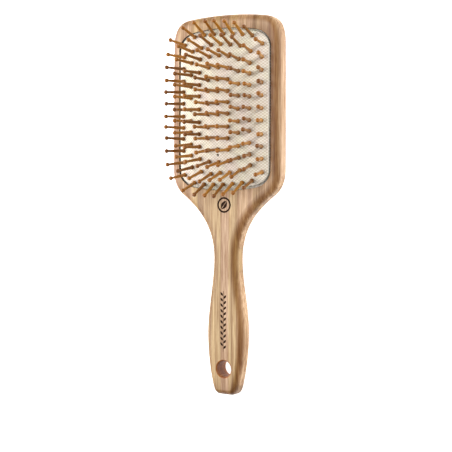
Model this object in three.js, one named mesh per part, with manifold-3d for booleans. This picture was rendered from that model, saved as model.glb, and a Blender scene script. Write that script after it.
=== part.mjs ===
// Paddle hair brush: a one-piece bamboo paddle, a domed rubber cushion held in a routed pocket,
// and wooden pins that stand in the cushion in nine columns.
// Millimetres, +Z up. The brush lies on its flat back with the pins up and its head towards +Y.
// The origin is under the middle of the brush, on the surface that it lies on.
import * as THREE from "three";
import { mergeVertices } from "three/addons/utils/BufferGeometryUtils.js";
import Module from "manifold-3d";

// Paddle: a flat board, cut to outline and rounded along both edges.
const LENGTH = 250;
const THICKNESS = 12;
const FACE_ROUND = 3;
const BACK_ROUND = 4.5;
const ROUND_SEGMENTS = 2;
const HEAD_HALF_WIDTH = 41.6;
const NECK_HALF_WIDTH = 9.5;
const NECK_Y = -35;
const GRIP_HALF_WIDTH = 14.3;
const GRIP_Y = -84;

// Hole for hanging the brush up, near the end of the handle.
const HANG_HOLE_RADIUS = 5.6;
const HANG_HOLE_Y = -107.6;
const HANG_HOLE_LIP = 0.5;
const HANG_HOLE_SIDES = 24;

// Cushion outline, measured from the cushion's own centre: straight sides and arched ends.
const PAD_Y = 63.2;
const PAD_HALF_WIDTH = 33.8;
const PAD_HALF_LENGTH = 49.8;
const PAD_CORNER = 10.5;
const PAD_ARCH = 1.8;

// Cushion skin: a dome over an air chamber, with a flange in a groove under the pocket's lip.
const RIM_RISE = -0.1;
const DOME_RISE = 8.2;
const DOME_HALF_WIDTH = 36.2;
const DOME_HALF_LENGTH = 50.2;
const DOME_POWER_X = 2.3;
const DOME_POWER_Y = 4.1;
const DOME_SPANS = 8;
const SKIN = 1.4;
const RIM_WALL = 1;
const FLANGE_REACH = 2;
const FLANGE_TOP = THICKNESS - 1.9;
const FLANGE_THICKNESS = 1.2;
const VENT_RADIUS = 0.5;
const VENT_X = -0.6;
const VENT_Y = -30;
const VENT_SIDES = 8;

// Pocket in the paddle, with room to spare around the cushion.
const CLEARANCE = 0.3;
const POCKET_GAP = 1;
const POCKET_DEPTH = 7.2;

// Pins: a ball tip, a shaft that tapers towards it, and a bead that seats on the rubber.
const TIP_HEIGHT = 14.1;
const TIP_RADIUS = 1.25;
const NECK_RADIUS = 0.65;
const SHAFT_RADIUS = 0.92;
const BEAD_HEIGHT = 0.65;
const BEAD_RADIUS = 1.35;
const STEM_RADIUS = 0.6;
const PIN_SIDES = 5;
const PIN_HOLE_RADIUS = 1;
const PIN_HOLE_DEPTH = 6;
const STRIP_DEPTH = 2.9;
const STRIP_WIDTH = 1.8;

// Pin layout: nine columns run along the handle, from the +X side to the -X side. Each pin stands
// square to the dome. A column's end pins stand a little apart from the evenly spaced others.
const COLUMN_PITCH = 7.4;
const LEAN = 1.06;
const LEAN_SCATTER = 0.04;
const SEAT_SCATTER = 0.45;
const COLUMNS = [
  { pins: 11, reach: 41, endGap: 8.2 },
  { pins: 13, reach: 46.4, endGap: 9.8 },
  { pins: 13, reach: 47.5, endGap: 7.6 },
  { pins: 14, reach: 48.2, endGap: 7 },
  { pins: 14, reach: 48.7, endGap: 7.1 },
  { pins: 14, reach: 48.8, endGap: 7.1 },
  { pins: 13, reach: 48.8, endGap: 8.4 },
  { pins: 13, reach: 47.8, endGap: 10 },
  { pins: 12, reach: 42.8, endGap: 8.1 },
];
const GROUPS = ["top", "middle", "bottom"];
const END_GROUP_SHARE = 1 / 2.8;

// Anything that a cutter or a block has to reach past.
const BEYOND = 60;

const wasm = await Module();
wasm.setup();

function solidOf(geometry) {
  const bare = geometry.clone();
  bare.deleteAttribute("normal");
  bare.deleteAttribute("uv");
  const merged = mergeVertices(bare, 1e-4);
  const vertProperties = new Float32Array(merged.attributes.position.array);
  const triVerts = new Uint32Array(merged.index.array);
  return new wasm.Manifold(new wasm.Mesh({ numProp: 3, vertProperties, triVerts }));
}

function geometryOf(solid) {
  const { vertProperties, triVerts } = solid.getMesh();
  const geometry = new THREE.BufferGeometry();
  geometry.setAttribute("position", new THREE.BufferAttribute(vertProperties, 3));
  geometry.setIndex(new THREE.BufferAttribute(triVerts, 1));
  geometry.computeVertexNormals();
  return geometry;
}

// A closed outline from the curves of its right half, which run from its top to its bottom.
function mirroredOutline(half, divisions) {
  const right = half.curves.flatMap((curve, i) => curve.getPoints(divisions[i]).slice(1));
  const left = right.slice(0, -1).reverse();
  const start = half.curves[0].getPoint(0);
  return [start, ...right, ...left.map((p) => new THREE.Vector2(-p.x, p.y))];
}

// A plain prism of a closed outline, from one height to another.
function prism(outline, low, high) {
  const shape = new THREE.Shape(outline);
  const geometry = new THREE.ExtrudeGeometry(shape, { depth: high - low, bevelEnabled: false });
  return geometry.translate(0, 0, low);
}

// Outline of the paddle: gently arched crown, round corners, straight sides, shoulders that
// sweep into the neck, and a grip that swells and narrows again to a blunt end.
function paddleOutline() {
  const half = new THREE.Path();
  const top = LENGTH / 2;
  half.moveTo(0, top);
  half.bezierCurveTo(10, top, 20, top - 0.6, 29, top - 1.8);
  half.bezierCurveTo(38, top - 3.1, HEAD_HALF_WIDTH, top - 9, HEAD_HALF_WIDTH, top - 19);
  half.lineTo(HEAD_HALF_WIDTH, 24);
  half.bezierCurveTo(HEAD_HALF_WIDTH, 15.6, 38.2, 10.2, 34.6, 7.4);
  half.bezierCurveTo(17.9, -4.3, NECK_HALF_WIDTH, -17, NECK_HALF_WIDTH, NECK_Y);
  half.bezierCurveTo(NECK_HALF_WIDTH, -50, GRIP_HALF_WIDTH, -68, GRIP_HALF_WIDTH, GRIP_Y);
  half.bezierCurveTo(GRIP_HALF_WIDTH, -97, 12.4, 14.5 - top, 9.8, 5.7 - top);
  half.bezierCurveTo(8.5, 1.7 - top, 6.8, -top, 3.8, -top);
  half.lineTo(0, -top);
  return mirroredOutline(half, [4, 6, 1, 5, 8, 6, 6, 4, 1]);
}

// Outline of the cushion, grown outwards by a given amount.
function padOutline(grow) {
  const side = PAD_HALF_WIDTH + grow;
  const end = PAD_HALF_LENGTH + grow;
  const corner = PAD_CORNER + grow;
  const inner = side - corner;
  const pull = 0.55 * corner;
  const drop = (pull * 2 * PAD_ARCH) / inner;
  const crown = end + PAD_ARCH;
  const half = new THREE.Path();
  half.moveTo(0, crown);
  half.quadraticCurveTo(inner / 2, crown, inner, end);
  half.bezierCurveTo(inner + pull, end - drop, side, end - corner + pull, side, end - corner);
  half.lineTo(side, corner - end);
  half.bezierCurveTo(side, corner - end - pull, inner + pull, drop - end, inner, -end);
  half.quadraticCurveTo(inner / 2, -crown, 0, -crown);
  return mirroredOutline(half, [3, 4, 1, 4, 3]);
}

// The bore of the hanging hole, flared at both faces by a quarter-round lip.
function hangHoleCutter() {
  const r = HANG_HOLE_RADIUS;
  const lip = HANG_HOLE_LIP;
  const mid = lip * (1 - Math.SQRT1_2);
  const lipCurve = (face, inwards) => [
    new THREE.Vector2(r + lip, face),
    new THREE.Vector2(r + mid, face + mid * inwards),
    new THREE.Vector2(r, face + lip * inwards),
  ];
  const profile = [
    new THREE.Vector2(0, -lip),
    new THREE.Vector2(r + lip, -lip),
    ...lipCurve(0, 1),
    ...lipCurve(THICKNESS, -1).reverse(),
    new THREE.Vector2(r + lip, THICKNESS + lip),
    new THREE.Vector2(0, THICKNESS + lip),
  ];
  const cutter = new THREE.LatheGeometry(profile, HANG_HOLE_SIDES);
  return cutter.rotateX(Math.PI / 2).translate(0, HANG_HOLE_Y, 0);
}

// A board of the paddle's outline, rounded along both its edges by the same radius.
function roundedBoard(round, low, high) {
  const board = new THREE.ExtrudeGeometry(new THREE.Shape(paddleOutline()), {
    depth: high - low - 2 * round,
    bevelThickness: round,
    bevelSize: round,
    bevelOffset: -round,
    bevelSegments: ROUND_SEGMENTS,
  });
  return solidOf(board.translate(0, 0, low + round));
}

// The board is what two rounded boards share: one gives the face's edge, the other the back's.
function paddleGeometry() {
  const faceBoard = roundedBoard(FACE_ROUND, -FACE_ROUND - BACK_ROUND, THICKNESS);
  const backBoard = roundedBoard(BACK_ROUND, 0, THICKNESS + FACE_ROUND + BACK_ROUND);
  const grooveLow = FLANGE_TOP - FLANGE_THICKNESS - CLEARANCE;
  const grooveOutline = padOutline(FLANGE_REACH + CLEARANCE);
  const pocket = prism(padOutline(POCKET_GAP), THICKNESS - POCKET_DEPTH, THICKNESS + CLEARANCE);
  const groove = prism(grooveOutline, grooveLow, FLANGE_TOP + CLEARANCE);
  const cavity = solidOf(pocket.translate(0, PAD_Y, 0)).add(solidOf(groove.translate(0, PAD_Y, 0)));
  return geometryOf(faceBoard.intersect(backBoard).subtract(cavity).subtract(solidOf(hangHoleCutter())));
}

// The dome over the cushion: its height falls off from the crown to the rim by a power of the
// distance across and by another power of the distance along.
const falloff = (t, power) => 1 - Math.min(Math.abs(t), 1) ** power;
const acrossDome = (x) => falloff(x / DOME_HALF_WIDTH, DOME_POWER_X);
const alongDome = (y) => falloff(y / DOME_HALF_LENGTH, DOME_POWER_Y);
const domeHeight = (x, y) => THICKNESS + RIM_RISE + DOME_RISE * acrossDome(x) * alongDome(y);

// The direction that points straight out of the dome, leant out a little further by the rubber.
function domeNormal(x, y) {
  const step = 0.01;
  const slopeX = (domeHeight(x + step, y) - domeHeight(x - step, y)) / (2 * step);
  const slopeY = (domeHeight(x, y + step) - domeHeight(x, y - step)) / (2 * step);
  return new THREE.Vector3(-LEAN * slopeX, -LEAN * slopeY, 1);
}

// Everything under the dome, lowered by a given drop. The grid's lines across run between the
// columns of pins, and its lines along crowd towards the steep ends.
function domeBlock(drop) {
  const across = COLUMNS.length;
  const xs = Array.from({ length: across + 1 }, (_, i) => (i - across / 2) * COLUMN_PITCH);
  const turn = (i) => (i / DOME_SPANS - 0.5) * Math.PI;
  const ys = Array.from({ length: DOME_SPANS + 1 }, (_, i) => DOME_HALF_LENGTH * Math.sin(turn(i)));
  const columns = [-BEYOND, ...xs, BEYOND];
  const rows = [-BEYOND, ...ys, BEYOND];
  const block = new THREE.BoxGeometry(1, 1, 1, columns.length - 1, rows.length - 1, 1);
  const position = block.attributes.position;
  for (let i = 0; i < position.count; i++) {
    const x = columns[Math.round((position.getX(i) + 0.5) * (columns.length - 1))];
    const y = rows[Math.round((position.getY(i) + 0.5) * (rows.length - 1))];
    const z = position.getZ(i) > 0 ? domeHeight(x, y) - drop : 0;
    position.setXYZ(i, x, y, z);
  }
  return solidOf(block);
}

function cushionSkin() {
  const flangeBottom = FLANGE_TOP - FLANGE_THICKNESS;
  const high = THICKNESS + 2 * DOME_RISE;
  const dome = domeBlock(0).intersect(solidOf(prism(padOutline(0), flangeBottom, high)));
  const flange = solidOf(prism(padOutline(FLANGE_REACH), flangeBottom, FLANGE_TOP));
  const chamberOutline = padOutline(-RIM_WALL);
  const chamber = domeBlock(SKIN).intersect(solidOf(prism(chamberOutline, flangeBottom / 2, high)));
  return dome.add(flange).subtract(chamber);
}

// A fixed scatter between -1 and 1, so that no two pins lean quite alike.
function scatter(column, row, salt) {
  const wave = Math.sin(12.9898 * column + 78.233 * row + 37.719 * salt) * 43758.5453;
  return 2 * (wave - Math.floor(wave)) - 1;
}

// Where each pin of a column stands on the rubber, and which way it points.
function columnPins(column) {
  const { pins, reach, endGap } = COLUMNS[column];
  const x = ((COLUMNS.length - 1) / 2 - column) * COLUMN_PITCH;
  const innerReach = reach - endGap;
  const pitch = (2 * innerReach) / (pins - 3);
  return Array.from({ length: pins }, (_, row) => {
    const end = row === 0 ? reach : -reach;
    const inner = innerReach - (row - 1) * pitch + SEAT_SCATTER * scatter(column, row, 3);
    const y = row % (pins - 1) === 0 ? end : inner;
    const axis = domeNormal(x, y);
    axis.x += LEAN_SCATTER * scatter(column, row, 1);
    axis.y += LEAN_SCATTER * scatter(column, row, 2);
    return { seat: new THREE.Vector3(x, y, domeHeight(x, y)), axis: axis.normalize() };
  });
}

// Turns a piece made along +Y to a pin's axis and puts its origin on the pin's seat.
function placeOnPin(geometry, { seat, axis }) {
  const turn = new THREE.Quaternion().setFromUnitVectors(new THREE.Vector3(0, 1, 0), axis);
  return geometry.applyQuaternion(turn).translate(seat.x, seat.y, seat.z);
}

function pinGeometry(pin) {
  const profile = [
    [0, -STRIP_DEPTH],
    [STEM_RADIUS, -STRIP_DEPTH],
    [STEM_RADIUS, 0],
    [BEAD_RADIUS, BEAD_HEIGHT],
    [SHAFT_RADIUS, 2 * BEAD_HEIGHT],
    [NECK_RADIUS, TIP_HEIGHT - TIP_RADIUS],
    [TIP_RADIUS, TIP_HEIGHT],
    [0, TIP_HEIGHT + TIP_RADIUS],
  ];
  const points = profile.map(([radius, height]) => new THREE.Vector2(radius, height));
  return placeOnPin(new THREE.LatheGeometry(points, PIN_SIDES), pin);
}

function pinHoleCutter(pin) {
  const drill = new THREE.CylinderGeometry(PIN_HOLE_RADIUS, PIN_HOLE_RADIUS, PIN_HOLE_DEPTH, PIN_SIDES);
  return placeOnPin(drill, pin);
}

function ventCutter() {
  const drill = new THREE.CylinderGeometry(VENT_RADIUS, VENT_RADIUS, PIN_HOLE_DEPTH, VENT_SIDES);
  return drill.rotateX(Math.PI / 2).translate(VENT_X, VENT_Y, domeHeight(VENT_X, VENT_Y));
}

function cushionGeometry() {
  const cutters = COLUMNS.flatMap((_, column) => columnPins(column).map(pinHoleCutter));
  const cut = (skin, cutter) => skin.subtract(solidOf(cutter));
  return geometryOf([...cutters, ventCutter()].reduce(cut, cushionSkin()));
}

// The strip under the rubber that holds a group of pins by their feet.
function stripGeometry(pins) {
  const feet = pins.map(({ seat, axis }) => seat.clone().addScaledVector(axis, -STRIP_DEPTH));
  const run = feet.at(-1).clone().sub(feet[0]).normalize();
  const stops = [
    feet[0].clone().addScaledVector(run, -STRIP_WIDTH / 2),
    ...feet.slice(1, -1),
    feet.at(-1).clone().addScaledVector(run, STRIP_WIDTH / 2),
  ];
  const route = new THREE.CurvePath();
  for (let i = 0; i + 1 < stops.length; i++) {
    route.add(new THREE.LineCurve3(stops[i], stops[i + 1]));
  }
  const h = STRIP_WIDTH / 2;
  const corners = [[-h, -h], [h, -h], [h, h], [-h, h]].map(([x, y]) => new THREE.Vector2(x, y));
  return new THREE.ExtrudeGeometry(new THREE.Shape(corners), {
    extrudePath: route,
    steps: stops.length - 1,
  });
}

function pinGroupGeometry(pins) {
  const join = (sum, pin) => sum.add(solidOf(pinGeometry(pin)));
  return geometryOf(pins.reduce(join, solidOf(stripGeometry(pins))));
}

// The pins of a column, shared out from its top to its bottom.
function pinGroups(column) {
  const pins = columnPins(column);
  const ends = Math.floor(pins.length * END_GROUP_SHARE);
  return [pins.slice(0, ends), pins.slice(ends, -ends), pins.slice(-ends)];
}

function piece(name, geometry, material) {
  const mesh = new THREE.Mesh(geometry, material);
  mesh.name = name;
  return mesh;
}

const bamboo = () =>
  new THREE.MeshStandardMaterial({ color: 0xd2ad80, roughness: 0.6, metalness: 0 });
const rubber = () =>
  new THREE.MeshStandardMaterial({ color: 0xe6dcc4, roughness: 0.75, metalness: 0 });
const pinWood = () =>
  new THREE.MeshStandardMaterial({ color: 0xa86c38, roughness: 0.5, metalness: 0 });

const pad = new THREE.Group();
pad.position.y = PAD_Y;
pad.add(piece("rubber_cushion", cushionGeometry(), rubber()));
COLUMNS.forEach((_, column) => {
  pinGroups(column).forEach((pins, i) => {
    pad.add(piece(`pins_column_${column + 1}_${GROUPS[i]}`, pinGroupGeometry(pins), pinWood()));
  });
});

const brush = new THREE.Group();
brush.add(piece("paddle_body", paddleGeometry(), bamboo()), pad);

export default brush;
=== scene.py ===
"""A paddle hair brush: a laminated bamboo board, a woven-faced rubber cushion and 117 turned wooden pins.

Metres in the scene, millimetres in the shape functions. The brush lies on its back, pins up,
head towards +Y.
"""
import math

import bmesh
import bpy
import numpy as np
from mathutils import Matrix, Vector
from mathutils.geometry import delaunay_2d_cdt


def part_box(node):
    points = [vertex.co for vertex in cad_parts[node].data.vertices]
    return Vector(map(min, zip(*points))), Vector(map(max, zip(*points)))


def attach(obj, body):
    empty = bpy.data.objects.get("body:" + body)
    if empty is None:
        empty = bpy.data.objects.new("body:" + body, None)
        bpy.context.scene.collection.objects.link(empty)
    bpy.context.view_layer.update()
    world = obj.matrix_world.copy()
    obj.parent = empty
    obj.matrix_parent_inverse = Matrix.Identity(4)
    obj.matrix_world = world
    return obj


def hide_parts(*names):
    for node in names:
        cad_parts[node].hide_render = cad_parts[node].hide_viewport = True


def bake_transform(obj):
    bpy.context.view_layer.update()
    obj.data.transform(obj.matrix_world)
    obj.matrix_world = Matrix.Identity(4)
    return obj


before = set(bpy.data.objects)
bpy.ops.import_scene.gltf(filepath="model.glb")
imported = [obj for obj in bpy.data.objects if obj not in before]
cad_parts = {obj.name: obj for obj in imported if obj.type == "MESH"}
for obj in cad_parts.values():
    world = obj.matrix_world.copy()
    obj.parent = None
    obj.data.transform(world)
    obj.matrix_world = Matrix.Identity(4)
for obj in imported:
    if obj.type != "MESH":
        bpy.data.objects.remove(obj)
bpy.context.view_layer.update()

MM = 0.001

# Board. Its length, width and thickness are the frame's.
HEAD_HALF_WIDTH, HALF_LENGTH, THICKNESS = np.array(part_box("paddle_body")[1]) / MM
NECK_HALF_WIDTH = 9.5
NECK_Y = -35.0
GRIP_HALF_WIDTH = 14.3
GRIP_Y = -84.0
ROUND_STEPS = 10
# A second ring this far inside each rounded edge keeps the flat face next to it flat in the shading.
HOLD = 0.15

# The board's edges are quarter ellipses. Each row: y, then the width and depth of the face's edge,
# and the radius of the back's edge.
EDGE_SIZES = [
    (-125, 3.6, 4.2, 3.6),
    (-114, 4.5, 4.5, 4.5),
    (-70, 4.5, 4.5, 4.5),
    (-45, 6.0, 3.7, 5.2),
    (-5, 6.0, 3.7, 5.2),
    (22, 5.1, 3.3, 5.2),
    (125, 4.8, 3.2, 5.2),
]

# Hanging hole.
HOLE_RADIUS = 5.6
HOLE_Y = -107.6
HOLE_LIP = 0.5
HOLE_LIP_STEPS = 6
HOLE_SIDES = 96

# Pocket and cushion. Their centre is at PAD_Y, and heights are over the brush's back.
PAD_Y = 63.2
PAD_HALF_WIDTH = 33.7
PAD_HALF_LENGTH = 49.7
PAD_CORNER = 10.5
PAD_ARCH = 1.8
# How far the handles of a rounded corner reach, as a share of its radius.
CORNER_PULL = 0.55
POCKET_GAP = 1.4
POCKET_SHIFT = -0.35
POCKET_LIP = 0.3
POCKET_LIP_STEPS = 4
POCKET_FLOOR = THICKNESS - 7.2
GROOVE_REACH = 2.6
GROOVE_TOP = THICKNESS - 1.6
GROOVE_LOW = THICKNESS - 3.4
DOME_RISE = 8.2
DOME_BASE = THICKNESS - 0.1
DOME_HALF_WIDTH = 36.2
DOME_HALF_LENGTH = 50.2
DOME_POWER_X = 2.3
DOME_POWER_Y = 4.1
SKIN = 1.4
# The rim is rolled from RIM_ROLL_START degrees on, and slants out to the flange over RIM_FOOT.
RIM_ROLL = 0.9
RIM_ROLL_START = 15
RIM_ROLL_STEPS = 5
RIM_FOOT = 0.3
FLANGE_REACH = 2.0
FLANGE_TOP = THICKNESS - 1.9
FLANGE_LOW = THICKNESS - 3.1
FLANGE_ROUND = 0.2
# The skin's lattice of points: its pitch, how far it reaches, and its gaps to the rim and the dimples.
SKIN_PITCH = 0.85
SKIN_REACH = (40, 60)
SKIN_RIM_GAP = 0.45 * SKIN_PITCH
SKIN_DIMPLE_GAP = 0.3 * SKIN_PITCH
DIMPLE_DEPTH = 0.36
DIMPLE_RADIUS = 1.7
DIMPLE_SPREAD = 0.75
DIMPLE_INNER = 1.3
PIN_HOLE_RADIUS = 1.0
SKIN_HOLE_SIDES = 16
VENT = (-0.6, PAD_Y - 30.0)
VENT_RADIUS = 0.95
VENT_RING = 0.4
VENT_CLEAR = 0.7

# Pins: their shape along their own axis, and their layout, column by column from the +X side.
# An arc is given by where it starts and ends, in degrees over straight out, and its steps.
TIP_HEIGHT = 14.1
TIP_RADIUS = 1.45
TIP_ARC = (-58, 90, 10)
NECK_RADIUS = 0.8
SHAFT_RADIUS = 1.1
SHAFT_STEPS = 6
SHAFT_TAPER = 1.2
BEAD_HEIGHT = 0.75
BEAD_RADIUS = 1.5
BEAD_CORE = 0.7
BEAD_ARC = (-80, 62, 9)
BEAD_TO_SHAFT = 0.35
STEM_RADIUS = 0.6
STEM_TOP = -0.1
STEM_MIDDLE = -1.0
HEAD_RADIUS = 1.0
HEAD_TOP = -2.1
HEAD_LOW = -2.8
HEAD_ROUND = 0.15
NECK_TOP = TIP_HEIGHT - TIP_RADIUS - 0.1
COLLAR_RADIUS = NECK_RADIUS + 0.02
PIN_SIDES = 16
COLUMN_PITCH = 7.4
# A pin leans with the dome's slope times LEAN.
LEAN = 1.06
LEAN_SCATTER = 0.04
SEAT_SCATTER = 0.45
# Each row: how many pins, how far the end pins stand from the cushion's centre, and the gap to
# their neighbours.
COLUMNS = [
    (11, 41.0, 8.2),
    (13, 46.4, 9.8),
    (13, 47.5, 7.6),
    (14, 48.2, 7.0),
    (14, 48.7, 7.1),
    (14, 48.8, 7.1),
    (13, 48.8, 8.4),
    (13, 47.8, 10.0),
    (12, 42.8, 8.1),
]
END_GROUP_SHARE = 1 / 2.8
MIDDLE_COLUMN = len(COLUMNS) // 2

# How much painted shade darkens the board: round the back's edge, round the face's edge on the left
# and on the right, and over the strip of face between the cushion and the head's right edge.
BACK_PAINTED_SHADE = 1.0
LEFT_PAINTED_SHADE = 0.5
RIGHT_PAINTED_SHADE = 0.95
STRIP_PAINTED_SHADE = 1.0
# Over which y the strip's painted shade sets in: along the head's edge, and along the pocket's.
HEAD_PAINTED_SHADE_FROM = (12, 26)
POCKET_PAINTED_SHADE_FROM = (14, 34)
# Shares of the way round the back's edge at which its painted shade begins to fade and has gone.
BACK_PAINTED_SHADE_FADE = (0.3, 0.6)
# Shares of the way round the face's edge at which the strip's painted shade begins and is full.
STRIP_PAINTED_SHADE_RISE = (0.25, 0.7)

# Badge and sprig, burnt into the face.
BURN_DEPTH = 0.12
BADGE_Y = 0.7
BADGE_OUTER = 5.2
BADGE_INNER = 4.0
BADGE_SIDES = 72
BADGE_LEAF_POINTS = 15
BADGE_LEAF_HALF_LENGTH = 3.3
BADGE_LEAF_BULGE = 1.9
BADGE_VEIN = 0.17
BADGE_LEAF_ANGLE = math.radians(52)
SPRIG_X = -0.4
SPRIG_TOP = -58.0
SPRIG_LOW = -93.0
SPRIG_LEAVES = 20
SPRIG_LEAF_POINTS = 13
SPRIG_LEAF = (3.0, 1.45)
SPRIG_LEAF_ANGLE = math.radians(36)
SPRIG_LEAF_SHIFT = 0.3
SPRIG_STEM = 0.35
SPRIG_STEM_ABOVE = 2
SPRIG_STEM_BELOW = 3

# The board's materials, by slot.
FACE, ROUTED, BURNT, BORED = range(4)
# How many rings of the pocket's lip keep the face's wood.
LIP_FACE_RINGS = 4

# Looks. Bamboo strips, by their tone, and what multiplies their colour.
STRIPS_PER_MM = 0.17
STRIP_RANDOMNESS = 0.7
STRIP_SWAY = 1.6
STRIP_COLOURS = [
    (0.0, (0.53, 0.35, 0.175)),
    (0.35, (0.70, 0.52, 0.25)),
    (0.65, (0.59, 0.375, 0.25)),
    (1.0, (0.75, 0.53, 0.30)),
]
BROAD_SHADE = (0.60, 0.50, 0.38)
FINE_SHADE = (0.66, 0.55, 0.42)
PORE_SHADE = (0.62, 0.46, 0.33)
GLUE_SHADE = (0.6, 0.45, 0.32)
# The colour that the board's painted shade multiplies the wood by.
PAINTED_SHADE_COLOUR = (0.56, 0.41, 0.25)
# Painted shade darkens the handle's end, from the first y to the second, and more so towards its right
# side.
END_PAINTED_SHADE = (0.5, 0.36, 0.22)
END_PAINTED_SHADE_FROM = (-112, -124)
END_PAINTED_SHADE_REACH = 8
# The pocket's routed walls are tinted near black: painted shade in the gap round the cushion.
ROUTED_PAINTED_SHADE = (0.05, 0.025, 0.015)
# The bore is darker and more orange than the face: partly the bore's own colour, partly painted shade.
BORED_TONE_AND_SHADE = (0.82, 0.46, 0.15)

# Rubber, in clouds of three near colours, and its weave's pitch along X and Y in millimetres.
RUBBER_COLOURS = [
    (0.35, (0.90, 0.88, 0.73)),
    (0.5, (0.91, 0.86, 0.76)),
    (0.65, (0.90, 0.82, 0.76)),
]
WEAVE_SHADE = (0.77, 0.715, 0.625)
GRIME_SHADE = (0.85, 0.78, 0.68)
WEAVE_X = 2.4
WEAVE_Y = 1.9

# Pin wood, by each pin's own tone.
PIN_COLOURS = [
    (0.0, (0.27, 0.11, 0.010)),
    (0.5, (0.40, 0.17, 0.016)),
    (1.0, (0.51, 0.235, 0.028)),
]
PIN_GRAIN_SHADE = (0.6, 0.42, 0.28)
# The pins' tips and their feet at the rubber are darker: painted shade.
PIN_TIP_PAINTED_SHADE = (0.72, 0.6, 0.5)
PIN_FOOT_PAINTED_SHADE = (0.7, 0.58, 0.45)

# Floor and air.
FLOOR_REACH = 4.0
FLOOR_DROP = 0.0002
FLOOR_GLOW = 1.05
AIR_GLOW = 0.2

# Camera, and the point that the lights aim at too.
CAMERA_AIM = Vector((0.00281, -0.01297, 0.01401))
CAMERA_DISTANCE = 0.798
CAMERA_YAW = math.radians(31.8)
CAMERA_PITCH = math.radians(2.41)
CAMERA_ROLL = math.radians(0.166)
CAMERA_LENS = 97.2


# ---------------------------------------------------------------- outlines

def bezier(points, count):
    """Points along a Bezier curve of two, three or four control points, without its first."""
    t = np.linspace(0, 1, count + 1)[1:, None]
    level = [np.repeat(np.array([p], float), count, 0) for p in points]
    while len(level) > 1:
        level = [a + (b - a) * t for a, b in zip(level, level[1:])]
    return level[0]


def mirrored(start, pieces):
    """A closed outline from the curves of its right half, which run from its top to its bottom."""
    right, last = [], start
    for controls, count in pieces:
        right.append(bezier([last, *controls], count))
        last = controls[-1]
    right = np.vstack(right)
    left = right[:-1][::-1] * (-1, 1)
    return np.vstack([[start], right, left])


def paddle_outline():
    """Outline of the board, clockwise from the middle of the head's end."""
    top, head, neck, grip = HALF_LENGTH, HEAD_HALF_WIDTH, NECK_HALF_WIDTH, GRIP_HALF_WIDTH
    return mirrored((0, top), [
        ([(10, top), (20, top - 0.6), (29, top - 1.8)], 16),
        ([(38, top - 3.1), (head - 0.5, top - 9), (head - 0.4, top - 19)], 26),
        ([(head, 70), (head, 24)], 40),
        ([(head, 15.6), (38.2, 10.2), (34.6, 7.4)], 18),
        ([(17.9, -4.3), (neck, -17), (neck, NECK_Y)], 36),
        ([(neck, -50), (grip, -68), (grip, GRIP_Y)], 28),
        ([(grip, -97), (12.4, 14.5 - top), (9.8, 5.7 - top)], 26),
        ([(8.5, 1.7 - top), (6.8, -top), (3.8, -top)], 18),
        ([(0, -top)], 4),
    ])


def pad_outline(grow):
    """Outline of the cushion, grown outwards by a given amount, in the brush's own frame."""
    side = PAD_HALF_WIDTH + grow
    end = PAD_HALF_LENGTH + grow
    corner = PAD_CORNER + grow
    inner = side - corner
    pull = CORNER_PULL * corner
    drop = 2 * pull * PAD_ARCH / inner
    crown = end + PAD_ARCH
    outline = mirrored((0, crown), [
        ([(inner / 2, crown), (inner, end)], 24),
        ([(inner + pull, end - drop), (side, end - corner + pull), (side, end - corner)], 20),
        ([(side, corner - end)], 80),
        ([(side, corner - end - pull), (inner + pull, drop - end), (inner, -end)], 20),
        ([(inner / 2, -crown), (0, -crown)], 24),
    ])
    return outline + (0, PAD_Y)


def circle(centre, radius, sides):
    a = np.linspace(0, 2 * np.pi, sides, endpoint=False)
    return np.stack([centre[0] + radius * np.sin(a), centre[1] + radius * np.cos(a)], 1)


def outward(outline):
    """Unit normals of a closed clockwise outline, pointing out of it."""
    along = np.roll(outline, -1, 0) - np.roll(outline, 1, 0)
    along /= np.linalg.norm(along, axis=1)[:, None]
    return np.stack([-along[:, 1], along[:, 0]], 1)


def inside(points, loop):
    """Which points lie inside a closed loop."""
    x, y = points[:, 0][:, None], points[:, 1][:, None]
    a, b = loop, np.roll(loop, -1, 0)
    spans = (a[:, 1] > y) != (b[:, 1] > y)
    with np.errstate(divide="ignore", invalid="ignore"):
        cross = a[:, 0] + (y - a[:, 1]) * (b[:, 0] - a[:, 0]) / (b[:, 1] - a[:, 1])
    return (spans & (x < cross)).sum(1) % 2 == 1


# ---------------------------------------------------------------- meshes

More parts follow.
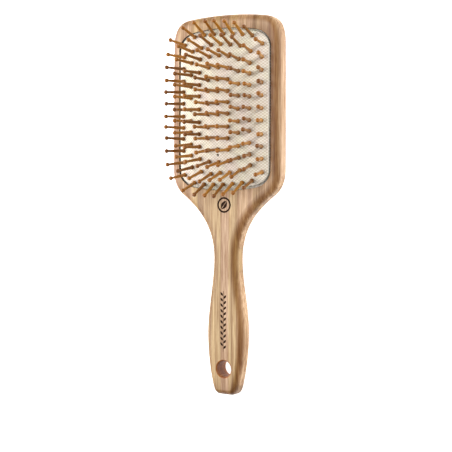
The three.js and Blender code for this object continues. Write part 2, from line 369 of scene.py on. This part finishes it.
class Shell:
    """Gathers a closed mesh from rings of points, walls between rings, and flat or domed fills."""

    def __init__(self):
        self.points, self.faces, self.slots = [], [], []

    def ring(self, outline, height):
        """Adds a ring of points at one height, or at a height for each point. Returns their numbers."""
        first = len(self.points)
        heights = np.broadcast_to(height, len(outline))
        self.points += [(x, y, z) for (x, y), z in zip(outline, heights)]
        return list(range(first, len(self.points)))

    def wall(self, a, b, slot=0):
        """Four-sided faces between two rings of equally many points."""
        n = len(a)
        for i in range(n):
            j = (i + 1) % n
            self.faces.append((a[i], a[j], b[j], b[i]))
            self.slots.append(slot)

    def walls(self, rings, slot=0):
        for a, b in zip(rings, rings[1:]):
            self.wall(a, b, slot)

    def fill(self, rings, slot=0, extra=()):
        """Triangles between rings by the even-odd rule. Extra points inside make the mesh finer."""
        numbers = [i for ring in rings for i in ring] + list(extra)
        flat = np.array([self.points[i][:2] for i in numbers])
        edges, first, loops = [], 0, []
        for ring in rings:
            n = len(ring)
            edges += [(first + i, first + (i + 1) % n) for i in range(n)]
            loops.append(flat[first:first + n])
            first += n
        found = delaunay_2d_cdt([Vector(p) for p in flat], edges, [], 0, 1e-6)
        source = [numbers[o[0]] for o in found[3]]
        triangles = np.array(found[2])
        made = np.array([v[:] for v in found[0]])
        centres = made[triangles].mean(1)
        keep = np.zeros(len(centres), int)
        for loop in loops:
            keep += inside(centres, loop)
        for triangle in triangles[keep % 2 == 1]:
            self.faces.append(tuple(source[i] for i in triangle))
            self.slots.append(slot)

    def build(self, name, materials, sharp=40):
        """Makes the object. Edges sharper than the given number of degrees stay sharp."""
        mesh = bpy.data.meshes.new(name)
        mesh.from_pydata([tuple(c * MM for c in p) for p in self.points], [], self.faces)
        mesh.polygons.foreach_set("material_index", self.slots)
        mesh.polygons.foreach_set("use_smooth", [True] * len(self.faces))
        work = bmesh.new()
        work.from_mesh(mesh)
        bmesh.ops.recalc_face_normals(work, faces=work.faces)
        work.to_mesh(mesh)
        work.free()
        mesh.set_sharp_from_angle(angle=math.radians(sharp))
        for material in materials:
            mesh.materials.append(material)
        made = bpy.data.objects.new(name, mesh)
        bpy.context.scene.collection.objects.link(made)
        return made


def clamp(value):
    return min(max(value, 0), 1)


def smooth(values, low, high):
    """Rises smoothly from 0 to 1 between two values."""
    t = np.clip((values - low) / (high - low), 0, 1)
    return t * t * (3 - 2 * t)


def store(obj, name, values):
    """Keeps one number for each vertex, for the materials to read."""
    attribute = obj.data.attributes.new(name, "FLOAT", "POINT")
    attribute.data.foreach_set("value", np.asarray(values, np.float32))


# ---------------------------------------------------------------- dome and pins

def falloff(t, power):
    """1 in the middle, falling to 0 at a distance of 1."""
    return 1 - np.minimum(np.abs(t), 1) ** power


def dome(x, y):
    """Height of the dome over the brush's back, at a place measured from the cushion's centre."""
    across = falloff(np.asarray(x) / DOME_HALF_WIDTH, DOME_POWER_X)
    along = falloff(np.asarray(y) / DOME_HALF_LENGTH, DOME_POWER_Y)
    return DOME_BASE + DOME_RISE * across * along


def dome_slope(x, y, step=0.01):
    """How much the dome rises per millimetre along X and along Y."""
    across = (dome(x + step, y) - dome(x - step, y)) / (2 * step)
    along = (dome(x, y + step) - dome(x, y - step)) / (2 * step)
    return across, along


def scatter(column, row, salt):
    """A number from -1 to 1 that looks random and is the same on every run."""
    wave = math.sin(12.9898 * column + 78.233 * row + 37.719 * salt) * 43758.5453
    return 2 * (wave - math.floor(wave)) - 1


def column_pins(column):
    """(seat, axis) of each pin of a column, from the top of the head down."""
    count, reach, end_gap = COLUMNS[column]
    x = (MIDDLE_COLUMN - column) * COLUMN_PITCH
    inner = reach - end_gap
    pitch = 2 * inner / (count - 3)
    pins = []
    for row in range(count):
        y = inner - (row - 1) * pitch + SEAT_SCATTER * scatter(column, row, 3)
        if row == 0:
            y = reach
        if row == count - 1:
            y = -reach
        across, along = dome_slope(x, y)
        axis = Vector((
            -LEAN * across + LEAN_SCATTER * scatter(column, row, 1),
            -LEAN * along + LEAN_SCATTER * scatter(column, row, 2),
            1,
        ))
        pins.append((Vector((x, y + PAD_Y, float(dome(x, y)))), axis.normalized()))
    return pins


def pin_groups(column):
    """The pins of a column by the body that carries them."""
    pins = column_pins(column)
    ends = int(len(pins) * END_GROUP_SHARE)
    return {"top": pins[:ends], "middle": pins[ends:-ends], "bottom": pins[-ends:]}


def arc(centre, radius, start, end, steps):
    """(radius, height) points round a centre on or off the pin's axis. Degrees over straight out."""
    a = np.radians(np.linspace(start, end, steps + 1))
    return [(centre[0] + radius * math.cos(t), centre[1] + radius * math.sin(t)) for t in a]


def pin_profile():
    """(radius, height) from the retaining head under the rubber to the top of the ball tip."""
    rim, cut = HEAD_RADIUS, HEAD_ROUND
    head = [(0, HEAD_LOW), (rim - cut, HEAD_LOW), (rim, HEAD_LOW + cut),
            (rim, HEAD_TOP - cut), (rim - cut, HEAD_TOP), (STEM_RADIUS, HEAD_TOP)]
    stem = [(STEM_RADIUS, STEM_MIDDLE), (STEM_RADIUS, STEM_TOP)]
    bead = arc((BEAD_CORE, BEAD_HEIGHT), BEAD_RADIUS - BEAD_CORE, *BEAD_ARC)
    low = bead[-1][1] + BEAD_TO_SHAFT
    shaft = [(SHAFT_RADIUS + (NECK_RADIUS - SHAFT_RADIUS) * t ** SHAFT_TAPER, low + (NECK_TOP - low) * t)
             for t in np.linspace(0, 1, SHAFT_STEPS + 1)]
    collar = [(COLLAR_RADIUS, TIP_HEIGHT - TIP_RADIUS)]
    tip = arc((0, TIP_HEIGHT), TIP_RADIUS, *TIP_ARC)
    return head + stem + bead + shaft + collar + tip[:-1] + [(0, TIP_HEIGHT + TIP_RADIUS)]


def make_pins(name, pins, material, seed):
    """One mesh of separate turned pins, each standing on its seat. The seed picks their tones."""
    profile = pin_profile()
    shell = Shell()
    heights, tones = [], []
    for number, (seat, axis) in enumerate(pins):
        turn = Vector((0, 0, 1)).rotation_difference(axis).to_matrix()
        tone = 0.5 + 0.5 * scatter(seed, number, 7)
        rings = []
        for radius, height in profile:
            first = len(shell.points)
            sides = 1 if radius == 0 else PIN_SIDES
            for side in range(sides):
                a = 2 * math.pi * side / PIN_SIDES
                local = Vector((radius * math.cos(a), radius * math.sin(a), height))
                shell.points.append(tuple(seat + turn @ local))
                heights.append(height / (TIP_HEIGHT + TIP_RADIUS))
                tones.append(tone)
            rings.append(list(range(first, len(shell.points))))
        shell.walls(rings[1:-1])
        for ring, pole in ((rings[1], rings[0][0]), (rings[-2], rings[-1][0])):
            for i in range(PIN_SIDES):
                shell.faces.append((ring[i], ring[(i + 1) % PIN_SIDES], pole))
                shell.slots.append(0)
    made = shell.build(name, [material], sharp=50)
    store(made, "height", heights)
    store(made, "tone", tones)
    return made


# ---------------------------------------------------------------- board

def edge_sizes(y):
    """The width and depth of the face's edge and the radius of the back's edge at each y."""
    ys, *sizes = np.array(EDGE_SIZES, float).T
    column = np.clip(np.searchsorted(ys, y) - 1, 0, len(ys) - 2)
    t = smooth(y, ys[column], ys[column + 1])
    return [(size[column] + (size[column + 1] - size[column]) * t)[:, None] for size in sizes]


def edge_rings(shell, outline):
    """Rings from the back face, round the back edge, up the wall and round onto the front face."""
    out = outward(outline)
    wide, deep, back = edge_sizes(outline[:, 1])
    quarter = np.radians(np.linspace(0, 90, ROUND_STEPS + 1))
    rings = [shell.ring(outline - out * (back + HOLD), 0)]
    for a in quarter:
        height = back * (1 - math.cos(a))
        rings.append(shell.ring(outline - out * back * (1 - math.sin(a)), height[:, 0]))
    for a in quarter:
        height = THICKNESS - deep * (1 - math.sin(a))
        rings.append(shell.ring(outline - out * wide * (1 - math.cos(a)), height[:, 0]))
    rings.append(shell.ring(outline - out * (wide + HOLD), THICKNESS))
    return rings


def hole_rings(shell):
    """Rings of the hanging hole, from the back face to the front face, with rounded lips."""
    def at(radius, height):
        return shell.ring(circle((0, HOLE_Y), radius, HOLE_SIDES), height)
    quarter = np.radians(np.linspace(0, 90, HOLE_LIP_STEPS + 1))
    r, lip = HOLE_RADIUS, HOLE_LIP
    rings = [at(r + lip + HOLD, 0)]
    rings += [at(r + lip * (1 - math.sin(a)), lip * (1 - math.cos(a))) for a in quarter]
    rings += [at(r + lip * (1 - math.cos(a)), THICKNESS - lip * (1 - math.sin(a))) for a in quarter]
    rings.append(at(r + lip + HOLD, THICKNESS))
    return rings


def pocket_rings(shell):
    """Rings of the pocket, from the front face over its lip, round the groove and down to its floor."""
    lip, gap = POCKET_LIP, POCKET_GAP
    steps = [(gap + lip + HOLD, THICKNESS)]
    for a in np.radians(np.linspace(0, 90, POCKET_LIP_STEPS + 1)):
        steps.append((gap + lip * (1 - math.sin(a)), THICKNESS - lip * (1 - math.cos(a))))
    steps += [(gap, GROOVE_TOP), (GROOVE_REACH, GROOVE_TOP), (GROOVE_REACH, GROOVE_LOW),
              (gap, GROOVE_LOW), (gap, POCKET_FLOOR)]
    return [shell.ring(pad_outline(grow) + (POCKET_SHIFT, 0), height) for grow, height in steps]


def turned(points, angle):
    """Points turned anticlockwise by an angle in radians."""
    c, s = math.cos(angle), math.sin(angle)
    return points @ np.array([[c, s], [-s, c]])


def leaf(centre, length, width, angle):
    """A plain pointed leaf."""
    t = np.linspace(-1, 1, SPRIG_LEAF_POINTS)
    half = (1 - t * t) * width / 2
    upper = np.stack([t * length / 2, half], 1)
    lower = np.stack([t * length / 2, -half], 1)[1:-1][::-1]
    return turned(np.vstack([upper, lower]), angle) + centre


def burn(shell, outline):
    """Sinks a closed outline a little into the face. Returns its ring on the face."""
    top = shell.ring(outline, THICKNESS)
    low = shell.ring(outline, THICKNESS - BURN_DEPTH)
    shell.wall(top, low, BURNT)
    shell.fill([low], BURNT)
    return top


def badge_rings(shell):
    """A burnt ring round a plain two-part leaf. Returns the ring that the face leaves open."""
    outer = circle((0, BADGE_Y), BADGE_OUTER, BADGE_SIDES)
    inner = circle((0, BADGE_Y), BADGE_INNER, BADGE_SIDES)
    top_outer, low_outer = shell.ring(outer, THICKNESS), shell.ring(outer, THICKNESS - BURN_DEPTH)
    top_inner, low_inner = shell.ring(inner, THICKNESS), shell.ring(inner, THICKNESS - BURN_DEPTH)
    shell.walls([top_outer, low_outer, low_inner, top_inner], BURNT)
    halves = []
    for side in (-1, 1):
        t = np.linspace(-1, 1, BADGE_LEAF_POINTS)
        bulge = (1 - t * t) * BADGE_LEAF_BULGE
        edge = np.stack([t * BADGE_LEAF_HALF_LENGTH, side * (BADGE_VEIN + bulge)], 1)
        halves.append(turned(edge, BADGE_LEAF_ANGLE) + (0, BADGE_Y))
    shell.fill([top_inner] + [burn(shell, half) for half in halves])
    return [top_outer]


def sprig_rings(shell):
    """A sprig burnt along the grip: leaves in turn to the left and right of its stem."""
    length, width = SPRIG_LEAF
    rings = []
    for number, y in enumerate(np.linspace(SPRIG_TOP, SPRIG_LOW, SPRIG_LEAVES)):
        side = 1 if number % 2 else -1
        angle = math.pi / 2 - side * SPRIG_LEAF_ANGLE
        centre = (SPRIG_X + side * (SPRIG_STEM + SPRIG_LEAF_SHIFT * length), y)
        rings.append(burn(shell, leaf(centre, length, width, angle)))
    left, right = SPRIG_X - SPRIG_STEM / 2, SPRIG_X + SPRIG_STEM / 2
    top, low = SPRIG_TOP + SPRIG_STEM_ABOVE, SPRIG_LOW - SPRIG_STEM_BELOW
    stem = np.array([(left, top), (right, top), (right, low), (left, low)])
    return rings + [burn(shell, stem)]


def painted_shade_values(shell, outline, edge, pocket):
    """How much painted shade darkens each point of the board: its edges, and the face's strip beside the
    cushion.
    """
    painted_shade = np.zeros(len(shell.points))
    right = np.clip(outward(outline)[:, 0], 0, 1)
    head = smooth(outline[:, 1], *HEAD_PAINTED_SHADE_FROM)
    face_edge = len(edge) - ROUND_STEPS - 2
    (fade, gone), (begin, full) = BACK_PAINTED_SHADE_FADE, STRIP_PAINTED_SHADE_RISE
    for number, ring in enumerate(edge):
        back = BACK_PAINTED_SHADE * clamp((gone * face_edge - number) / ((gone - fade) * face_edge))
        rise = clamp((number - face_edge) / (len(edge) - 1 - face_edge))
        band = (LEFT_PAINTED_SHADE + (RIGHT_PAINTED_SHADE - LEFT_PAINTED_SHADE) * right) * math.sin(math.pi * rise)
        strip = STRIP_PAINTED_SHADE * clamp((rise - begin) / (full - begin))
        painted_shade[ring] = np.maximum(back, band + (strip - band) * right * head)
    lip = pad_outline(0)
    beside = np.clip(outward(lip)[:, 0], 0, 1) * smooth(lip[:, 1], *POCKET_PAINTED_SHADE_FROM)
    for ring in pocket[:LIP_FACE_RINGS]:
        painted_shade[ring] = STRIP_PAINTED_SHADE * beside
    return painted_shade


def make_paddle(materials):
    """The board. Its materials come in the order FACE, ROUTED, BURNT, BORED."""
    shell = Shell()
    outline = paddle_outline()
    edge = edge_rings(shell, outline)
    hole = hole_rings(shell)
    pocket = pocket_rings(shell)
    marks = badge_rings(shell) + sprig_rings(shell)
    shell.walls(edge, FACE)
    shell.walls(hole, BORED)
    shell.walls(pocket[:LIP_FACE_RINGS], FACE)
    shell.walls(pocket[LIP_FACE_RINGS - 1:], ROUTED)
    shell.fill([edge[0], hole[0]], FACE)
    shell.fill([edge[-1], hole[-1], pocket[0], *marks], FACE)
    shell.fill([pocket[-1]], ROUTED)
    made = shell.build("bamboo_paddle", materials)
    store(made, "painted_shade", painted_shade_values(shell, outline, edge, pocket))
    return made


# ---------------------------------------------------------------- cushion

def pin_distances(points, pins):
    """How far each point is from the seat of each pin, seen from above."""
    seats = np.array([seat[:2] for seat, _ in pins])
    return np.linalg.norm(points[:, None] - seats[None], axis=2)


def skin_points(pins):
    """An even lattice of points inside the rolled rim, clear of the dimples and the vent."""
    edge = pad_outline(-RIM_ROLL - SKIN_RIM_GAP)
    reach_x, reach_y = SKIN_REACH
    xs = np.arange(-reach_x, reach_x, SKIN_PITCH)
    ys = np.arange(-reach_y, reach_y, SKIN_PITCH * math.sqrt(3) / 2)
    rows = [(xs + 0.5 * SKIN_PITCH * (i % 2), np.full(len(xs), y + PAD_Y)) for i, y in enumerate(ys)]
    lattice = np.vstack([np.stack(row, 1) for row in rows])
    lattice = lattice[inside(lattice, edge)]
    gap = pin_distances(lattice, pins).min(1)
    vent = np.linalg.norm(lattice - VENT, axis=1)
    return lattice[(gap > DIMPLE_RADIUS + SKIN_DIMPLE_GAP) & (vent > VENT_RADIUS + VENT_CLEAR)]


def skin_height(points, pins):
    """Height of the rubber: the dome, drawn in a little where each pin sits."""
    gap = pin_distances(points, pins)
    dimple = np.exp(-(gap / (DIMPLE_SPREAD * DIMPLE_RADIUS)) ** 2).sum(1)
    return dome(points[:, 0], points[:, 1] - PAD_Y) - DIMPLE_DEPTH * dimple


def make_cushion(pins, rubber):
    """The cushion's skin: dome, rolled rim, flange under the pocket's lip, and a hole for each pin."""
    shell = Shell()
    rim = pad_outline(-RIM_ROLL)
    sides = SKIN_HOLE_SIDES
    loops = [rim] + [circle(seat[:2], PIN_HOLE_RADIUS, sides) for seat, _ in pins]
    loops.append(circle(VENT, VENT_RADIUS, sides))
    finer = [circle(seat[:2], r, sides) for seat, _ in pins for r in (DIMPLE_INNER, DIMPLE_RADIUS)]
    finer.append(circle(VENT, VENT_RADIUS + VENT_RING, sides))
    flat = np.vstack(loops + finer + [skin_points(pins)])
    heights = skin_height(flat, pins)
    across, along = dome_slope(flat[:, 0], flat[:, 1] - PAD_Y)
    normal = np.stack([-across, -along, np.ones_like(across)], 1)
    normal /= np.linalg.norm(normal, axis=1)[:, None]
    top = np.column_stack([flat, heights])
    under = top - normal * SKIN
    bounds = np.cumsum([0] + [len(loop) for loop in loops])

    def sheet(points):
        """Adds the points of one side of the skin. Returns its loops, and its other points."""
        first = len(shell.points)
        shell.points += [tuple(p) for p in points]
        rings = [[first + i for i in range(a, b)] for a, b in zip(bounds, bounds[1:])]
        rest = range(first + bounds[-1], len(shell.points))
        return rings, rest

    top_rings, top_rest = sheet(top)
    shell.fill(top_rings, 0, top_rest)
    under_rings, _ = sheet(under)
    shift = under_rings[0][0] - top_rings[0][0]
    for face in list(shell.faces):
        shell.faces.append(tuple(i + shift for i in face))
        shell.slots.append(0)
    for a, b in zip(top_rings[1:], under_rings[1:]):
        shell.wall(a, b)

    rim_height = heights[:len(rim)]
    rings = [top_rings[0]]
    for a in np.radians(np.linspace(RIM_ROLL_START, 90, RIM_ROLL_STEPS + 1)):
        grow = -RIM_ROLL * (1 - math.sin(a))
        rings.append(shell.ring(pad_outline(grow), rim_height - RIM_ROLL * (1 - math.cos(a))))
    reach, cut = FLANGE_REACH, FLANGE_ROUND
    steps = [(0, FLANGE_TOP + RIM_FOOT), (RIM_FOOT, FLANGE_TOP), (reach - cut, FLANGE_TOP),
             (reach, FLANGE_TOP - cut), (reach, FLANGE_LOW + cut), (reach - cut, FLANGE_LOW),
             (0, FLANGE_LOW)]
    rings += [shell.ring(pad_outline(grow), height) for grow, height in steps]
    low = np.array([shell.points[i] for i in under_rings[0]])
    rings.append(shell.ring(low[:, :2], FLANGE_LOW))
    rings.append(under_rings[0])
    shell.walls(rings)
    return shell.build("woven_rubber_cushion", [rubber], sharp=55)


# ---------------------------------------------------------------- materials

class Paint:
    """Builds a material's node tree with short calls."""

    def __init__(self, name):
        self.material = bpy.data.materials.new(name)
        self.material.use_nodes = True
        self.tree = self.material.node_tree
        self.shader = self.tree.nodes["Principled BSDF"]
        self.place = self.node("TexCoord").outputs["Object"]

    def node(self, kind, sockets=None, **settings):
        made = self.tree.nodes.new("ShaderNode" + kind)
        for key, value in settings.items():
            setattr(made, key, value)
        for key, value in (sockets or {}).items():
            self.put(made.inputs[key], value)
        return made

    def put(self, socket, value):
        if isinstance(value, bpy.types.NodeSocket):
            self.tree.links.new(value, socket)
        else:
            socket.default_value = value

    def math(self, operation, *values):
        return self.node("Math", dict(enumerate(values)), operation=operation).outputs[0]

    def scaled(self, x, y, z):
        """The place on the object, in millimetres times a factor for each axis."""
        mapping = {"Vector": self.place, "Scale": (x / MM, y / MM, z / MM)}
        return self.node("Mapping", mapping).outputs[0]

    def noise(self, vector, detail=2.0, roughness=0.5):
        sockets = {"Vector": vector, "Scale": 1.0, "Detail": detail, "Roughness": roughness}
        return self.node("TexNoise", sockets).outputs[0]

    def ramp(self, factor, stops):
        """A colour by factor, from stops of (position, colour)."""
        made = self.node("ValToRGB", {0: factor})
        elements = made.color_ramp.elements
        while len(elements) < len(stops):
            elements.new(0.5)
        for element, (position, colour) in zip(elements, stops):
            element.position = position
            element.color = (*colour, 1)
        return made.outputs[0]

    def shade(self, factor, base, colour):
        """The base multiplied by a colour, as far as the factor says."""
        made = self.node("Mix", data_type="RGBA", blend_type="MULTIPLY")
        for number, value in ((0, factor), (6, base), (7, (*colour, 1))):
            self.put(made.inputs[number], value)
        return made.outputs[2]

    def grade(self, value, low, high, out_low=0.0, out_high=1.0):
        """A value's range from low to high, mapped to another range and held at its ends."""
        sockets = {0: value, 1: low, 2: high, 3: out_low, 4: out_high}
        return self.node("MapRange", sockets).outputs[0]

    def attribute(self, name):
        return self.node("Attribute", attribute_name=name).outputs["Fac"]

    def finish(self, colour, roughness, height=None, distance=0.1, strength=1.0, **constants):
        """Connects the shader. The distance of the bump is in millimetres."""
        self.put(self.shader.inputs["Base Color"], colour)
        self.put(self.shader.inputs["Roughness"], roughness)
        if height is not None:
            bump = self.node("Bump", {"Height": height, "Distance": distance * MM, "Strength": strength})
            self.put(self.shader.inputs["Normal"], bump.outputs[0])
        for key, value in constants.items():
            self.shader.inputs[key.replace("_", " ")].default_value = value
        return self.material


def bamboo_material(name, tint=None):
    """Upright bamboo strips glued side by side: each has its own tone, and all have fibres along Y.

    Without a tint, painted shade darkens it: the board's "painted_shade" attribute, and more at the
    handle's end.
    """
    paint = Paint(name)
    place = paint.node("SeparateXYZ", {0: paint.scaled(1, 1, 1)}).outputs
    sway = paint.noise(paint.scaled(0.02, 0.008, 0.02), 1.0)
    strips = {"W": paint.math("MULTIPLY_ADD", sway, STRIP_SWAY, place[0]),
              "Scale": STRIPS_PER_MM, "Randomness": STRIP_RANDOMNESS}
    strip = paint.node("TexVoronoi", strips, voronoi_dimensions="1D").outputs["Color"]
    joint = paint.node("TexVoronoi", strips, voronoi_dimensions="1D",
                       feature="DISTANCE_TO_EDGE").outputs[0]
    tone = paint.node("SeparateColor", {0: strip}).outputs[0]
    base = paint.ramp(tone, STRIP_COLOURS)
    broad = paint.noise(paint.scaled(0.3, 0.012, 0.15), 3.0, 0.55)
    fine = paint.noise(paint.scaled(1.6, 0.05, 0.7), 3.0, 0.6)
    pores = paint.noise(paint.scaled(7.5, 0.22, 2.4), 2.0, 0.6)
    base = paint.shade(paint.grade(broad, 0.38, 0.62), base, BROAD_SHADE)
    base = paint.shade(paint.grade(fine, 0.42, 0.62), base, FINE_SHADE)
    base = paint.shade(paint.grade(pores, 0.56, 0.72, 0.0, 0.7), base, PORE_SHADE)
    base = paint.shade(paint.grade(joint, 0.0, 0.02, 0.4, 0.0), base, GLUE_SHADE)
    if tint is None:
        # Painted shade round the board's edges and beside the cushion.
        base = paint.shade(paint.attribute("painted_shade"), base, PAINTED_SHADE_COLOUR)
        # Painted shade at the handle's end.
        low_end = paint.grade(place[1], *END_PAINTED_SHADE_FROM)
        to_the_right = paint.grade(place[0], -END_PAINTED_SHADE_REACH, END_PAINTED_SHADE_REACH, 0.2, 0.9)
        base = paint.shade(paint.math("MULTIPLY", low_end, to_the_right), base, END_PAINTED_SHADE)
    else:
        base = paint.shade(1.0, base, tint)
    rough = paint.grade(fine, 0.3, 0.75, 0.38, 0.56)
    height = paint.math("MULTIPLY_ADD", pores, -0.6, fine)
    return paint.finish(base, rough, height, 0.05, 0.35, IOR=1.45, Coat_Weight=0.06, Coat_Roughness=0.3)


def burnt_material():
    """Charred wood in the sunk marks."""
    paint = Paint("burnt_bamboo")
    fleck = paint.noise(paint.scaled(3.0, 0.4, 3.0), 3.0)
    colour = paint.ramp(fleck, [(0.3, (0.012, 0.005, 0.003)), (0.8, (0.04, 0.017, 0.007))])
    return paint.finish(colour, paint.grade(fleck, 0.2, 0.8, 0.8, 0.95), fleck, 0.05, 0.4, IOR=1.2)


def rubber_material():
    """Cream rubber moulded with a fine slanting weave."""
    paint = Paint("woven_rubber")
    place = paint.node("SeparateXYZ", {0: paint.scaled(1, 1, 1)}).outputs
    warp = paint.math("SINE", paint.math("MULTIPLY", place[0], 2 * math.pi / WEAVE_X))
    weft = paint.math("SINE", paint.math("MULTIPLY", place[1], 2 * math.pi / WEAVE_Y))
    weave = paint.math("MULTIPLY", warp, weft)
    cloud = paint.noise(paint.scaled(0.09, 0.05, 0.09), 3.0, 0.5)
    base = paint.ramp(cloud, RUBBER_COLOURS)
    base = paint.shade(paint.grade(weave, -0.35, 0.35, 1.0, 0.0), base, WEAVE_SHADE)
    grime = paint.noise(paint.scaled(0.5, 0.5, 0.5), 4.0, 0.6)
    base = paint.shade(paint.grade(grime, 0.5, 0.8, 0.0, 0.35), base, GRIME_SHADE)
    return paint.finish(base, paint.grade(weave, -1, 1, 0.72, 0.55), weave, 0.16, 0.6,
                        IOR=1.48, Sheen_Weight=0.12, Sheen_Roughness=0.4)


def pin_material():
    """Turned hardwood under a warm oil finish."""
    paint = Paint("oiled_pin_wood")
    tone, height = paint.attribute("tone"), paint.attribute("height")
    base = paint.ramp(tone, PIN_COLOURS)
    grain = paint.noise(paint.scaled(2.2, 2.2, 0.35), 3.0, 0.6)
    base = paint.shade(paint.grade(grain, 0.4, 0.75, 0.0, 0.7), base, PIN_GRAIN_SHADE)
    # Painted shade: darker tips, and darker feet where the pins meet the rubber.
    base = paint.shade(paint.grade(height, 0.78, 0.95), base, PIN_TIP_PAINTED_SHADE)
    base = paint.shade(paint.grade(height, 0.0, 0.12, 0.9, 0.0), base, PIN_FOOT_PAINTED_SHADE)
    return paint.finish(base, paint.grade(grain, 0.3, 0.8, 0.28, 0.45), grain, 0.04, 0.3,
                        IOR=1.38, Coat_Weight=0.2, Coat_Roughness=0.1)


# ---------------------------------------------------------------- studio

def make_floor():
    """A pale light table that the brush lies on."""
    mesh = bpy.data.meshes.new("studio_floor")
    corners = [(x * FLOOR_REACH, y * FLOOR_REACH, 0) for x, y in ((-1, -1), (1, -1), (1, 1), (-1, 1))]
    mesh.from_pydata(corners, [], [(0, 1, 2, 3)])
    paint = Paint("studio_floor")
    paint.finish((0.9, 0.9, 0.9, 1), 0.6, Emission_Color=(1, 1, 1, 1), Emission_Strength=FLOOR_GLOW)
    mesh.materials.append(paint.material)
    floor = bpy.data.objects.new("studio_floor", mesh)
    bpy.context.scene.collection.objects.link(floor)
    floor.location.z = -FLOOR_DROP


def make_light(name, direction, distance, size, power):
    """A white rectangular lamp that shines from a direction onto the camera's aim. Metres and watts."""
    lamp = bpy.data.lights.new(name, "AREA")
    lamp.shape = "RECTANGLE"
    lamp.size, lamp.size_y = size
    lamp.energy = power
    light = bpy.data.objects.new(name, lamp)
    bpy.context.scene.collection.objects.link(light)
    aim = Vector(direction).normalized()
    light.location = CAMERA_AIM + aim * distance
    light.rotation_mode = "QUATERNION"
    light.rotation_quaternion = aim.to_track_quat("Z", "Y")


def make_world():
    """Faint white light from all around."""
    world = bpy.data.worlds.new("studio_air")
    world.use_nodes = True
    air = world.node_tree.nodes["Background"].inputs
    air[0].default_value = (1, 1, 1, 1)
    air[1].default_value = AIR_GLOW
    bpy.context.scene.world = world


def make_camera():
    """Looks down at the brush from its +X side, with the head at the top of the picture."""
    turn = Matrix.Rotation(CAMERA_YAW, 4, "Y") @ Matrix.Rotation(-CAMERA_PITCH, 4, "X")
    turn = turn @ Matrix.Rotation(CAMERA_ROLL, 4, "Z")
    back = turn @ Vector((0, 0, 1))
    data = bpy.data.cameras.new("camera")
    data.lens = CAMERA_LENS
    data.sensor_width = 36
    camera = bpy.data.objects.new("camera", data)
    bpy.context.scene.collection.objects.link(camera)
    camera.matrix_world = Matrix.Translation(CAMERA_AIM + back * CAMERA_DISTANCE) @ turn
    bpy.context.scene.camera = camera


# ---------------------------------------------------------------- assembly

bpy.context.scene.view_settings.view_transform = "Standard"

bamboo = bamboo_material("bamboo")
# Painted shade: the pocket's walls come out near black.
routed = bamboo_material("routed_bamboo_painted_shade", ROUTED_PAINTED_SHADE)
# The bore's tint is partly painted shade.
bored = bamboo_material("bored_bamboo", BORED_TONE_AND_SHADE)
paddle = make_paddle([bamboo, routed, burnt_material(), bored])
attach(paddle, "paddle")
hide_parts("paddle_body")

all_pins = [pin for column in range(len(COLUMNS)) for pin in column_pins(column)]
cushion = make_cushion(all_pins, rubber_material())
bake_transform(cushion)
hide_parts("rubber_cushion")

pin_wood = pin_material()
for column in range(len(COLUMNS)):
    for group, pins in pin_groups(column).items():
        body = f"column_{column + 1}_{group}"
        piece = make_pins(f"wooden_pins_{column + 1}_{group}", pins, pin_wood, 3 * column + len(group))
        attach(piece, body)
        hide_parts("pins_" + body)

make_floor()
make_world()
make_light("key_left", direction=(-0.64, 0.09, 0.72), distance=0.58, size=(0.6, 0.6), power=6.0)
make_light("side_right", direction=(0.8, 0.45, 0.24), distance=0.9, size=(0.3, 0.7), power=5.6)
make_camera()
